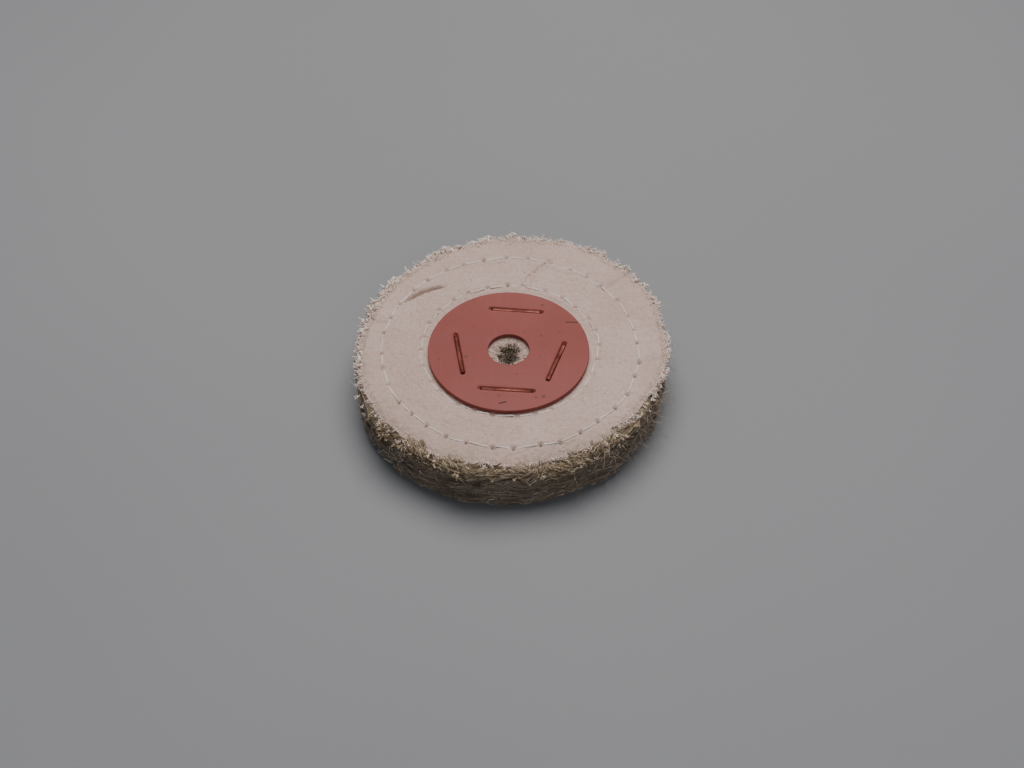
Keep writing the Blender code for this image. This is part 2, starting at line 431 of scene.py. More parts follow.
class Paint:
    """A material, and short ways of adding nodes to it. Noise scales are in waves per metre."""

    def __init__(self, name, roughness=0.9):
        self.material = bpy.data.materials.new(name)
        self.material.use_nodes = True
        self.tree = self.material.node_tree
        self.shader = self.tree.nodes["Principled BSDF"]
        self.shader.inputs["Roughness"].default_value = roughness
        self.place = self.add("ShaderNodeTexCoord").outputs["Object"]

    def add(self, kind, settings=None, **inputs):
        node = self.tree.nodes.new(kind)
        for name, value in (settings or {}).items():
            setattr(node, name, value)
        for name, value in inputs.items():
            self.feed(node.inputs[name], value)
        return node

    def feed(self, socket, value):
        if isinstance(value, bpy.types.NodeSocket):
            self.tree.links.new(value, socket)
        else:
            socket.default_value = value

    def finish(self, **inputs):
        """The material, with these inputs of its shader set."""
        for name, value in inputs.items():
            self.feed(self.shader.inputs[name.replace("_", " ")], value)
        return self.material

    def math(self, operation, *values, kind="ShaderNodeMath"):
        node = self.add(kind, {"operation": operation})
        for socket, value in zip(node.inputs, values):
            self.feed(socket, value)
        return node.outputs[0]

    def times(self, first, second):
        return self.math("MULTIPLY", first, second)

    def shape(self, output):
        """What the geometry node says of each point."""
        return self.add("ShaderNodeNewGeometry").outputs[output]

    def noise(self, scale, detail=3.0, place=None, rough=0.55, distortion=0.0):
        node = self.add("ShaderNodeTexNoise", Scale=scale, Detail=detail, Roughness=rough)
        self.feed(node.inputs["Vector"], place or self.place)
        self.feed(node.inputs["Distortion"], distortion)
        return node.outputs["Fac"]

    def stretched(self, *scale):
        node = self.add("ShaderNodeMapping", Vector=self.place)
        self.feed(node.inputs["Scale"], scale)
        return node.outputs[0]

    def axes(self, place=None):
        node = self.add("ShaderNodeSeparateXYZ", Vector=place or self.place)
        return node.outputs

    def ramp(self, share, *stops):
        """Colours along a value: stops are (position, colour)."""
        node = self.add("ShaderNodeValToRGB", Fac=share)
        points = node.color_ramp.elements
        while len(points) < len(stops):
            points.new(0.5)
        for point, (position, colour) in zip(points, stops):
            point.position, point.color = position, (*colour, 1)
        return node.outputs[0]

    def level(self, share, low, high, start=0.0, end=1.0):
        """A value from low to high mapped to start to end, and held at its ends."""
        node = self.add("ShaderNodeMapRange", Value=share)
        for socket, value in zip(node.inputs[1:5], (low, high, start, end)):
            self.feed(socket, value)
        return node.outputs[0]

    def mix(self, share, first, second, blend="MIX"):
        node = self.add("ShaderNodeMix", {"data_type": "RGBA", "blend_type": blend})
        sockets = [node.inputs[i] for i in (0, 6, 7)]
        for socket, value in zip(sockets, (share, first, second)):
            self.feed(socket, (*value, 1) if isinstance(value, tuple) else value)
        return node.outputs[2]

    def layers(self, colour, *layers):
        """Colours laid over one another, each (value, low, high, start, end, colour)."""
        for value, *ends, over in layers:
            colour = self.mix(self.level(value, *ends), colour, over)
        return colour

    def shaded(self, colour, shade):
        """A colour darkened to shade, 0 to 1, and made a little yellower."""
        return self.mix(1.0, colour, (shade, shade * 0.93, shade * 0.86), "MULTIPLY")

    def bump(self, height, distance, strength=1.0, normal=None):
        node = self.add("ShaderNodeBump", Height=height, Distance=distance, Strength=strength)
        if normal:
            self.feed(node.inputs["Normal"], normal)
        return node.outputs[0]

    def weave(self, pitch, waver):
        """The height, 0 to 1, of a plain weave in the object's x and y."""
        shake = self.add("ShaderNodeTexNoise", Vector=self.place, Scale=0.18 / pitch, Detail=2.0)
        kind = "ShaderNodeVectorMath"
        offset = self.math("SUBTRACT", shake.outputs["Color"], (0.5, 0.5, 0.5), kind=kind)
        moved = self.math("MULTIPLY_ADD", offset, (waver * pitch,) * 3, self.place, kind=kind)
        x, y, _ = self.axes(moved)
        across = self.math("COSINE", self.times(x, math.pi / pitch))
        down = self.math("COSINE", self.times(y, math.pi / pitch))
        over = self.times(across, down)
        warp = self.math("ADD", self.math("ABSOLUTE", across), over)
        weft = self.math("SUBTRACT", self.math("ABSOLUTE", down), over)
        return self.times(self.math("MAXIMUM", warp, weft), 0.5)


def cotton_cloth(name, shade):
    """Bleached plain-weave cotton with a light nap and a few specks, as pale as shade, 0 to 1, which
    below 1 is painted shade; its creases and needle holes get painted shade too.
    """
    paint = Paint(name)
    weave = paint.weave(COTTON_YARN_PITCH, 1.7)
    clouds = paint.noise(42, 4)
    slub = paint.noise(1.0, 2, paint.stretched(260, 1500, 600))
    lint = paint.noise(2600, 2)
    grain = paint.noise(1300, 3)
    colour = paint.layers(
        paint.ramp(clouds, (0.30, (0.585, 0.450, 0.395)), (0.70, (0.70, 0.545, 0.515))),
        (grain, 0.3, 0.5, 0.42, 0.0, (0.44, 0.325, 0.285)),
        (grain, 0.52, 0.7, 0.0, 0.5, (0.84, 0.70, 0.65)),
        (weave, 0.25, 0.85, 0.45, 0.0, (0.42, 0.31, 0.27)),
        (slub, 0.45, 0.7, 0.0, 0.15, (0.76, 0.62, 0.57)),
        (paint.noise(520, 1), 0.745, 0.78, 0.0, 0.55, (0.33, 0.24, 0.17)),
        # Hollows, such as creases and needle holes, painted dark: painted shade
        (paint.shape("Pointiness"), 0.41, 0.485, 0.9, 0.0, (0.085, 0.080, 0.095)),
    )
    height = paint.math("ADD", weave, paint.times(lint, 0.7))
    height = paint.math("ADD", height, paint.times(grain, 0.6))
    return paint.finish(
        Base_Color=paint.shaded(colour, shade),
        Roughness=paint.level(lint, 0.3, 0.7, 0.82, 1.0),
        Sheen_Weight=0.35,
        Sheen_Roughness=0.6,
        Normal=paint.bump(height, 0.09 * MM, 0.75),
    )


def cotton_fibre(name, shade):
    """Loose cotton yarn and lint, as pale as shade, 0 to 1, which below 1 is painted shade."""
    paint = Paint(name)
    each = paint.times(paint.shape("Random Per Island"), 0.6)
    share = paint.math("ADD", each, paint.times(paint.noise(120, 2), 0.5))
    colour = paint.ramp(
        share, (0.1, (0.70, 0.58, 0.53)), (0.45, (0.84, 0.74, 0.69)), (0.9, (0.94, 0.88, 0.84))
    )
    return paint.finish(
        Base_Color=paint.shaded(colour, shade),
        Sheen_Weight=0.4,
        Subsurface_Weight=0.25,
        Subsurface_Radius=(0.6 * MM, 0.5 * MM, 0.4 * MM),
        Normal=paint.bump(paint.noise(4200, 2), 0.03 * MM, 0.5),
    )


def sisal_fibre(name, pale, middle, dark, woven=False):
    """Stiff, slightly glossy plant fibre in shades from straw to brown."""
    paint = Paint(name, 0.6)
    each = paint.times(paint.shape("Random Per Island"), 0.65)
    share = paint.math("ADD", each, paint.times(paint.noise(140, 3), 0.45))
    colour = paint.ramp(share, (0.12, dark), (0.5, middle), (0.9, pale))
    streak = paint.noise(1.0, 3, paint.stretched(1500, 1500, 420))
    normal = paint.bump(streak, 0.06 * MM, 0.7)
    if woven:
        normal = paint.bump(paint.weave(SISAL_YARN_PITCH, 0.5), 0.35 * MM, 0.9, normal)
    return paint.finish(
        Base_Color=paint.layers(colour, (streak, 0.35, 0.7, 0.45, 0.0, dark)),
        Roughness=paint.level(streak, 0.3, 0.7, 0.45, 0.75),
        Sheen_Weight=0.15,
        Normal=normal,
    )


def vulcanised_fibre():
    """Red vulcanised fibre: a hard paper board, faintly mottled, scuffed and specked, with painted
    sheen in patches and painted shade on its walls, in its staple troughs and in its crack and nick.
    """
    paint = Paint("vulcanised_fibre", 0.6)
    clouds = paint.noise(55, 5, rough=0.6)
    grain = paint.noise(1900, 3)
    scuffs = paint.noise(1.0, 4, paint.stretched(900, 70, 300), distortion=0.4)
    cross_scuffs = paint.noise(1.0, 4, paint.stretched(60, 1100, 300), distortion=0.6)
    facing = paint.math("ABSOLUTE", paint.axes(paint.shape("Normal"))[2])
    colour = paint.layers(
        paint.ramp(clouds, (0.3, (0.248, 0.053, 0.043)), (0.7, (0.302, 0.073, 0.060))),
        # Large pale pinkish-grey patches, laid at random: painted sheen
        (paint.noise(24, 2), 0.42, 0.62, 0.0, 0.28, (0.325, 0.115, 0.102)),
        (scuffs, 0.58, 0.75, 0.0, 0.16, (0.46, 0.16, 0.13)),
        (cross_scuffs, 0.62, 0.75, 0.0, 0.12, (0.48, 0.17, 0.14)),
        (paint.noise(330, 1), 0.735, 0.765, 0.0, 0.7, (0.13, 0.045, 0.035)),
        # Hollows, such as the staple troughs, painted dark: painted shade
        (paint.shape("Pointiness"), 0.40, 0.48, 0.8, 0.0, (0.07, 0.016, 0.013)),
        # Walls that face sideways, the rim and the bore, painted darker: painted shade
        (facing, 0.35, 0.9, 0.75, 0.0, (0.20, 0.040, 0.032)),
    )
    # A crack and a nick, dented by the bump and painted near black: painted shade in their slits
    crack = fine_line(paint, (18.0 * MM, 11.9 * MM), (22.6 * MM, 11.7 * MM), 0.26 * MM)
    nick = fine_line(paint, (-3.1 * MM, -22.5 * MM), (-0.5 * MM, -21.9 * MM), 0.36 * MM)
    marks = paint.math("MAXIMUM", crack, nick)
    height = paint.math("ADD", paint.times(grain, 0.5), paint.times(scuffs, 0.4))
    height = paint.math("SUBTRACT", height, paint.times(marks, 3.0))
    return paint.finish(
        Base_Color=paint.mix(marks, colour, (0.06, 0.020, 0.017)),
        Roughness=paint.level(clouds, 0.3, 0.7, 0.48, 0.66),
        Specular_IOR_Level=0.32,
        Normal=paint.bump(height, 0.05 * MM, 0.55),
    )


def fine_line(paint, start, end, width):
    """1 on a thin, slightly crooked line on the front face, tapering to 0 off it."""
    shake = paint.math("SUBTRACT", paint.noise(900, 2), 0.5)
    x, y, z = paint.axes()
    run = (end[0] - start[0], end[1] - start[1])
    length = math.hypot(*run)
    share = paint.times(paint.math("SUBTRACT", x, start[0]), 1 / run[0])
    level = paint.math("ADD", paint.times(share, run[1]), start[1])
    off = paint.math("SUBTRACT", paint.math("SUBTRACT", y, level), paint.times(shake, 0.09 * length))
    near = paint.level(paint.math("ABSOLUTE", off), width * 0.4, width, 1.0, 0.0)
    from_middle = paint.math("ABSOLUTE", paint.math("SUBTRACT", share, 0.5))
    inside = paint.level(from_middle, 0.42, 0.5, 1.0, 0.0)
    return paint.times(paint.times(near, inside), paint.level(z, 0.0, MM))


def coppered_wire():
    """Copper-washed steel staple wire with drawn scratches, darkened to a dark reddish brown: partly
    brown oxide, partly painted dark reflection.
    """
    paint = Paint("coppered_wire", 0.35)
    stains = paint.noise(190, 4)
    # Very dark copper browns: partly oxide, partly painted dark reflection
    colour = paint.ramp(
        stains, (0.3, (0.08, 0.022, 0.016)), (0.55, (0.15, 0.048, 0.037)), (0.8, (0.24, 0.090, 0.074))
    )
    return paint.finish(
        Base_Color=colour,
        Metallic=1.0,
        Roughness=paint.level(stains, 0.3, 0.7, 0.62, 0.40),
        Normal=paint.bump(paint.noise(3600, 2), 0.02 * MM, 0.5),
    )


def sewing_thread():
    """Waxed off-white cotton thread; its two-ply twist is in the mesh."""
    paint = Paint("sewing_thread", 0.7)
    fuzz = paint.noise(5200, 2)
    colour = paint.ramp(paint.noise(160, 2), (0.3, (0.66, 0.55, 0.50)), (0.6, (0.86, 0.78, 0.74)))
    return paint.finish(
        Base_Color=paint.layers(colour, (fuzz, 0.35, 0.6, 0.3, 0.0, (0.62, 0.54, 0.48))),
        Roughness=paint.level(fuzz, 0.3, 0.7, 0.55, 0.85),
        Sheen_Weight=0.3,
        Normal=paint.bump(fuzz, 0.03 * MM, 0.6),
    )


def pale_floor():
    paint = Paint("pale_floor", 0.85)
    stops = (0.3, (0.27, 0.275, 0.285)), (0.7, (0.29, 0.295, 0.305))
    return paint.finish(Base_Color=paint.ramp(paint.noise(3, 2), *stops))


# ---- the face plies ----


def stitch_press(x, y, holes, at_hole, along, hole_width, line_width):
    """How far stitches press the cloth in: deepest at the holes, less along the thread."""
    pressed = np.zeros_like(x)
    for start, end in zip(holes, np.roll(holes, -1, axis=0)):
        near = np.hypot(x - start[0], y - start[1]) < 9 * MM
        line = segment_distance(x[near], y[near], start, end)
        hole = np.hypot(x[near] - start[0], y[near] - start[1])
        deepest = np.maximum(along * bell(line, line_width), at_hole * bell(hole, hole_width))
        pressed[near] = np.maximum(pressed[near], deepest)
    return pressed


def support_height(x, y, seed, side):
    """The top of the pack that a face ply lies on: flat, then rounded off at the front rim."""
    radius, angle = np.hypot(x, y), np.arctan2(y, x)
    uneven = ripple(x, y, seed + 4, 13 * MM, 0.1 * MM)
    if side == REAR:
        return uneven
    return uneven + face_swell(radius) - rim_fall(radius, angle)


def add_scaled(name, points, quads):
    """An object for the cloth solver, larger than life."""
    mesh = bpy.data.meshes.new(name)
    mesh.from_pydata((points * DRAPE_SCALE).tolist(), [], quads.tolist())
    return add_object(name, mesh)


def simulate(points, quads, pin, support, stretch, weight):
    """Blender's cloth on the points, [n][3], with pin weights [n], over a support mesh."""
    scene = bpy.context.scene
    cloth = add_scaled("drape", points, quads)
    under = add_scaled("under", *support)
    group = cloth.vertex_groups.new(name="pin")
    for value in np.unique(pin[pin > 0]):
        group.add(np.flatnonzero(pin == value).tolist(), float(value), "REPLACE")
    under.modifiers.new("collision", "COLLISION")
    under.collision.thickness_outer = 0.004
    under.collision.cloth_friction = 20
    modifier = cloth.modifiers.new("cloth", "CLOTH")
    fabric = modifier.settings
    fabric.quality = 6
    fabric.mass = 0.2
    fabric.tension_stiffness = fabric.compression_stiffness = 30
    fabric.shear_stiffness = 12
    fabric.bending_stiffness = 1.5
    fabric.tension_damping = fabric.compression_damping = 15
    fabric.vertex_group_mass = "pin"
    fabric.pin_stiffness = 3
    fabric.shrink_min = -stretch
    fabric.effector_weights.gravity = weight
    modifier.collision_settings.distance_min = 0.006
    modifier.collision_settings.collision_quality = 2
    modifier.point_cache.frame_start = 1
    modifier.point_cache.frame_end = DRAPE_STEPS
    for step in range(1, DRAPE_STEPS + 1):
        scene.frame_set(step)
    settled = cloth.evaluated_get(bpy.context.evaluated_depsgraph_get())
    found = np.empty(len(points) * 3)
    settled.data.vertices.foreach_get("co", found)
    for item in (cloth, under):
        bpy.data.objects.remove(item)
    scene.frame_set(1)
    return found.reshape(-1, 3) / DRAPE_SCALE


def drape(seed, side):
    """The settled shape of a face ply outside the plate, as a grid about a flat z = 0.
    """
    rows = int((CLOTH_RADIUS - PLATE_RADIUS) / DRAPE_ROW) + 1
    share = np.linspace(0, 1, rows)[:, None]
    angle = angles(DRAPE_SEGMENTS)[None, :]
    edge = cut_radius(angle, FACE_CUT[side], seed, 0.2 * MM)
    radius = PLATE_RADIUS - PLATE_TUCK + share * (edge - PLATE_RADIUS + PLATE_TUCK)
    x, y = polar(radius, angle)
    pressed = np.zeros_like(x)
    pin = np.zeros_like(x)
    for holes in HOLES.values():
        sunk = stitch_press(x, y, holes, STITCH_SINK, 0.15 * MM, 1.0 * MM, 0.8 * MM)
        pressed = np.maximum(pressed, sunk)
        for hole in holes:
            pin[np.hypot(x - hole[0], y - hole[1]) < PIN_RADIUS] = 1
    pin[:2] = 1
    between_rings = smooth(radius, 31 * MM, 34.5 * MM) * (1 - smooth(radius, 35 * MM, 39 * MM))
    rise = 0.35 * MM * between_rings
    low = support_height(x, y, seed, side)
    height = np.maximum(low, -0.3 * MM) + 0.15 * MM + rise - pressed
    height += ripple(x, y, seed + 5, 9 * MM, 0.05 * MM)
    height[:2] = 0
    points = np.stack([x, y, height], axis=-1).reshape(-1, 3)
    under_rows = 40
    wide = np.linspace(0, CLOTH_RADIUS - PLATE_RADIUS + 6 * MM, under_rows)[:, None]
    x, y = polar(PLATE_RADIUS + wide, angle)
    under = np.stack([x, y, support_height(x, y, seed, side) - 0.75 * MM], axis=-1)
    support = (under.reshape(-1, 3), grid_faces(under_rows, DRAPE_SEGMENTS, False))
    quads = grid_faces(rows, DRAPE_SEGMENTS, False)
    settled = simulate(points, quads, pin.ravel(), support, DRAPE_STRETCH, DRAPE_WEIGHT[side])
    return settled.reshape(rows, DRAPE_SEGMENTS, 3)


def refine(grid):
    """Twice the rows and segments, through the same points, by Catmull-Rom curves."""

    def middles(before, first, second, after):
        return (9 * (first + second) - before - after) / 16

    ahead = [np.roll(grid, shift, axis=1) for shift in (1, 0, -1, -2)]
    wide = np.stack([grid, middles(*ahead)], axis=2).reshape(grid.shape[0], -1, 3)
    padded = np.concatenate([2 * wide[:1] - wide[1:2], wide, 2 * wide[-1:] - wide[-2:-1]])
    between = middles(padded[:-3], padded[1:-2], padded[2:-1], padded[3:])
    tall = np.empty((2 * len(wide) - 1, *wide.shape[1:]))
    tall[0::2], tall[1::2] = wide, between
    return tall


def fold_marks(x, y):
    """Creases in the front ply: a long curved pleat, a short kink and a slit in the edge."""
    radius, angle = np.hypot(x, y), np.degrees(np.arctan2(y, x)) % 360
    height = np.zeros_like(x)
    strength, off = pleat(x, y)
    height -= 2.2 * MM * strength * bell(off, 0.48 * MM)
    height += 0.9 * MM * strength * bell(off - 1.4 * MM, 1.2 * MM)
    height -= 0.25 * MM * strength * bell(off + 1.5 * MM, 1.2 * MM)
    for start, end, depth in KINKS:
        distance = segment_distance(x, y, np.array(start) * MM, np.array(end) * MM)
        height -= depth * MM * bell(distance, 0.36 * MM)
        height += 0.35 * depth * MM * bell(distance - 0.9 * MM, 0.6 * MM)
    slit_angle = 161.2 + 1.2 * np.sin((radius / MM - 41) * 0.6)
    beyond = smooth(radius, 39.5 * MM, 41.5 * MM)
    off = np.radians(angle - slit_angle) * radius
    height -= 0.55 * MM * beyond * bell(off, 0.35 * MM)
    step = smooth(off, -0.1 * MM, 0.35 * MM) * (1 - smooth(off, 2 * MM, 9 * MM))
    return height - 0.3 * MM * beyond * step


def pleat(x, y):
    """How strong the curved pleat is here, 0 to 1, and how far beyond its line this is."""
    radius, angle = np.hypot(x, y), np.degrees(np.arctan2(y, x)) % 360
    share = np.clip((angle - 126) / 22, 0, 1)
    strength = smooth(angle, 122.5, 133) * (1 - smooth(angle, 141, 149))
    return strength, radius - (36.0 + 4.6 * share**0.7) * MM


def pleat_overhang(x, y):
    """The share by which the pleat's outer lip slides inward over its slit."""
    strength, off = pleat(x, y)
    return strength * 0.75 * MM * bell(off - 0.9 * MM, 0.9 * MM) / np.hypot(x, y)


def bore_edge(angle, seed):
    """The punched hole's ragged edge in a face ply."""
    oval = 0.6 * MM * np.cos(2 * (angle - math.radians(75)))
    ragged = wobble(angle, seed, 3, 9, 0.3 * MM) + wobble(angle, seed + 1, 14, 45, 0.3 * MM)
    return CLOTH_BORE + 0.1 * MM + oval + ragged


def bore_dish(radius):
    """How far the cloth is pulled down round the punched hole."""
    return 1.2 * MM * (1 - smooth(radius, CLOTH_BORE - 1.6 * MM, PLATE_BORE + 0.4 * MM))


def face_ply(side, seed):
    """The grid of a face ply, its outer surface first, then its rim and its back."""
    outer = refine(drape(seed, side))
    x, y = outer[..., 0], outer[..., 1]
    outer[..., 2] += CLOTH_FACE
    for holes in HOLES.values():
        outer[..., 2] -= stitch_press(x, y, holes, NEEDLE_PIT, 0.0, 0.6 * MM, 0.4 * MM)
    if side == FRONT:
        outer[..., 2] += fold_marks(x, y)
        outer[..., :2] *= 1 - pleat_overhang(x, y)[..., None]
    outer[..., 2] += ripple(x, y, seed + 8, 2.2 * MM, 0.025 * MM, 24)
    folds = wobble(np.arctan2(y, x), seed + 13, 16, 44, 0.2 * MM)
    folds += ripple(x, y, seed + 9, 6 * MM, 0.12 * MM)
    outer[..., 2] += np.maximum(folds + 0.1 * MM, 0) * smooth(np.hypot(x, y), 40.5 * MM, 45 * MM)
    angle = angles(SEGMENTS)[None, :]
    share = np.linspace(0, 1, 21)[:-1, None] ** 1.7
    inner_edge = bore_edge(angle, seed + 10)
    radius = inner_edge + share * (PLATE_RADIUS - PLATE_TUCK - inner_edge)
    x, y = polar(radius, angle)
    rough = ripple(x, y, seed + 11, 1.6 * MM, 0.10 * MM) + wobble(angle, seed + 12, 20, 70, 0.12 * MM)
    rough = rough * (1 - smooth(radius, PLATE_BORE - 0.4 * MM, PLATE_BORE + 0.6 * MM))
    inside = np.stack([x, y, CLOTH_FACE - bore_dish(radius) + rough], axis=-1)
    surface = np.concatenate([inside, outer])
    rounded = surface[-1:] * [1.003, 1.003, 1] - [0, 0, 0.3 * COTTON_THICKNESS]
    kept_rows = np.r_[0, 6, 12, 19, 34, 52, len(surface) - np.array([8, 3, 1])]
    back = surface[kept_rows][::-1] - [0, 0, COTTON_THICKNESS]
    grid = np.concatenate([surface, rounded, back])
    grid[..., 2] *= side
    return grid, surface * [1, 1, side]


def surface_height(surface, points):
    """The height of a surface grid at points in plan, [n][2], from its nearest vertices."""
    flat = surface.reshape(-1, 3)
    heights = []
    for point in points:
        distance = (flat[:, 0] - point[0]) ** 2 + (flat[:, 1] - point[1]) ** 2
        nearest = np.argpartition(distance, 4)[:4]
        weight = 1 / (distance[nearest] + 1e-9)
        heights.append((flat[nearest, 2] * weight).sum() / weight.sum())
    return np.array(heights)


# ---- the inner plies ----


def inner_ply(low, high, seed, cotton, shown):
    """The grid of a ply inside the pack, between two levels: wavy and spread at its rim."""
    angle = angles(SEGMENTS)[None, :]
    middle, half = (low + high) / 2, (high - low) / 2
    edge = cut_radius(angle, PACK_CUT, seed) - (0.9 * MM if cotton else 0)
    bore = CLOTH_BORE - 0.1 * MM + wobble(angle, seed + 2, 8, 60, 0.22 * MM)
    inner_shares = [0, 0.02, 0.04, 0.07, 0.12, 0.4, 0.55, 0.7, 0.78]
    shares = np.concatenate([inner_shares, np.linspace(0.84, 1, 21 if shown else 7)])[:, None]
    radius = bore + shares * (edge - bore)
    x, y = polar(radius, angle)
    rim = smooth(shares, 0.84, 1.0)
    height_share = (middle + CLOTH_FACE) / (2 * CLOTH_FACE)
    lift = middle + height_share * (face_swell(radius) - rim_fall(radius, angle))
    lift = lift - bore_dish(radius) * height_share**3
    pitch = COTTON_YARN_PITCH if cotton else SISAL_YARN_PITCH
    woven = np.cos(math.pi * x / pitch) * np.cos(math.pi * y / pitch)
    size = 0.05 * MM if cotton else 0.24 * MM
    lift += rim * ripple(x, y, seed + 4, 8 * MM, 0.1 * MM)
    lift += size * woven * smooth(shares, 0.8, 0.9)
    puff = 1 + rim * ((0.7 if cotton else 0.36) + wobble(angle, seed + 5, 20, 90, 0.06))
    thick = half * puff * (1 - 0.35 * smooth(shares, 0.975, 1.0))
    yarn = np.abs(np.sin(math.pi * x / pitch) * np.sin(math.pi * y / pitch))
    thick = thick - (0 if cotton else 0.22 * MM) * (1 - yarn) ** 3 * rim
    top = np.stack([x, y, lift + thick], axis=-1)
    bottom = np.stack([x, y, lift - thick], axis=-1)
    bulge = 1 + (0.005 + 0.003 * np.abs(woven[-1:, :, None])) * np.array([1, 1, 0])
    high_edge, low_edge = top[-1:], bottom[-1:]
    side = [high_edge * 0.7 + low_edge * 0.3, high_edge * 0.3 + low_edge * 0.7]
    side = np.concatenate(side) * bulge
    return np.concatenate([top, side, bottom[::-1]]), (top + bottom) / 2


# ---- frayed edges ----


def edge_reader(surface, inset):
    """A function from angles to points near a ply's rim and the way the cloth heads there."""
    rim, before = surface[-1], surface[-4]
    heading = unit(rim - before)
    place = np.degrees(np.arctan2(rim[:, 1], rim[:, 0])) % 360
    order = np.argsort(place)
    place, columns = place[order], [*rim[order].T, *heading[order].T]

    def read(angle):
        wanted = np.degrees(angle) % 360
        found = [np.interp(wanted, place, column, period=360) for column in columns]
        points, ways = np.stack(found[:3], axis=1), unit(np.stack(found[3:], axis=1))
        return points - ways * inset, ways

    return read


def yarn_ends(pitch, turn):
    """The angles where a square weave's yarns reach the rim, and the yarns' headings."""
    offsets = np.arange(-CLOTH_RADIUS + pitch / 2, CLOTH_RADIUS, pitch)
    across = np.arcsin(offsets / CLOTH_RADIUS)
    places = np.concatenate([across + quarter * TURN / 4 for quarter in range(4)])
    headings = np.repeat(np.arange(4) * TURN / 4, len(across))
    return places + turn, headings + turn


def cotton_fray(surface, seed, side, yarn_share, lint_count, reach):
    """Cut cotton yarns and lint along a ply's rim, longest at the back."""
    rng = np.random.default_rng(seed)
    read = edge_reader(surface, 0.7 * MM)
    strands = Strands()
    place, heading = yarn_ends(COTTON_YARN_PITCH, rng.uniform(0, TURN))
    place, heading = np.tile(place, 2), np.tile(heading, 2)
    chosen = rng.random(len(place)) < yarn_share
    place, heading = place[chosen], heading[chosen]
    place = place + rng.normal(0, 0.008, len(place))
    root, way = read(place)
    root[:, 2] -= side * rng.uniform(0, 0.6, len(place)) * MM
    way = unit(way * 0.8 + headed(heading) * 0.4 + rng.normal(0, 0.3, way.shape) + [0, 0, 0.1 * side])
    far = reach * (0.8 + 0.25 * np.sin(place))
    length = (rng.gamma(4.0, 0.23, len(place)) + 0.55) * far * MM
    radius = rng.uniform(0.12, 0.24, len(place)) * MM
    strands.sprout(rng, root, way, length, radius, droop=0.2, curl=0.35, sides=4, tip=0.6)
    for thin, count, far in ((0.034, lint_count, 1.0), (0.024, lint_count // 6, 1.6)):
        place = rng.uniform(0, TURN, count)
        root, way = read(place)
        root = root - way * rng.uniform(0, 1.4 * MM, (count, 1))
        root[:, 2] += side * 0.12 * MM
        way = unit(way + rng.normal(0, 0.75, way.shape) + [0, 0, 0.25 * side])
        length = rng.gamma(2.4, 0.38, count) * MM * far * reach + 0.3 * MM
        radius = np.full(count, thin * MM)
        strands.sprout(rng, root, way, length, radius, droop=0.1, curl=0.5, tip=0.6)
    return strands


def nap(strands, surface, seed, side, count):
    """Short lint lying on a face ply, over all of its surface outside the plate."""
    rng = np.random.default_rng(seed)
    rows = rng.integers(18, len(surface) - 2, count)
    root = surface[rows, rng.integers(0, surface.shape[1], count)] + [0, 0, 0.03 * MM * side]
    angle = rng.uniform(0, TURN, count)
    way = unit(headed(angle) + [0, 0, 0.12 * side] * rng.uniform(0, 1, (count, 1)))
    length = rng.gamma(2.5, 0.35, count) * MM + 0.3 * MM
    strands.sprout(rng, root, way, length, np.full(count, 0.02 * MM), curl=0.25, points=4)


def bore_lint(strands, surface, seed, count):
    """Threads and lint that curl round the punched hole."""
    rng = np.random.default_rng(seed)
    segment = rng.integers(0, surface.shape[1], count)
    root = surface[rng.integers(0, 7, count), segment]
    inward = -unit(root * [1, 1, 0])
    way = inward * 0.25 + sideways(inward) * rng.normal(0, 0.9, (count, 1))
    way += rng.normal(0, 0.25, root.shape)
    length = rng.gamma(2.5, 0.42, count) * MM + 0.3 * MM
    radius = rng.choice([0.03, 0.05, 0.10], count, p=[0.55, 0.28, 0.17]) * MM
    strands.sprout(rng, root, unit(way), length, radius, droop=0.15, curl=0.5, points=6)


def rim_beads(strands, surface, seed):
    """A run of plump cotton yarn ends that stand out of the rim at the far left."""
    rng = np.random.default_rng(seed)
    read = edge_reader(surface, 1.1 * MM)
    place = np.radians(np.arange(113, 152, 3.3))
    count = len(place)
    root, way = read(place + rng.normal(0, 0.008, count))
    root[:, 2] -= 0.5 * MM
    way = unit(way + rng.normal(0, 0.2, way.shape) + [0, 0, 0.1])
    share = np.linspace(0, 1, 7)
    centre = root[:, None] + way[:, None] * (share * 2.6 * MM)[None, :, None]
    plump = np.sqrt(np.clip(1 - (2 * share - 1) ** 2, 0.05, 1))
    strands.add(centre, rng.uniform(0.45, 0.65, (count, 1)) * MM * plump[None], sides=8)


def add_crumbs(strands, rng, read, count, span, sink, reach, size):
    """Knots of torn cotton yarn on the rim or beyond it, over a span of angles in degrees."""
    yarns = 10
    root, way = read(np.radians(rng.uniform(*span, count)))
    root = root + way * [1, 1, 0.4] * rng.uniform(0.0, reach, (count, 1)) * MM
    root[:, 2] -= rng.normal(sink, 0.6 * abs(sink), count) * MM
    size = size * np.repeat(rng.uniform(0.6, 1.4, count), yarns)
    root = np.repeat(root, yarns, axis=0) + rng.normal(0, 0.26 * MM, (count * yarns, 3)) * size[:, None]
    way = unit(np.repeat(way, yarns, axis=0) * 0.5 + rng.normal(0, 0.8, root.shape))
    length = rng.uniform(0.25, 0.65, len(root)) * MM * size
    radius = rng.uniform(0.16, 0.34, len(root)) * MM * size
    strands.sprout(rng, root, way, length, radius, droop=0.2, curl=0.6, points=4, sides=4)


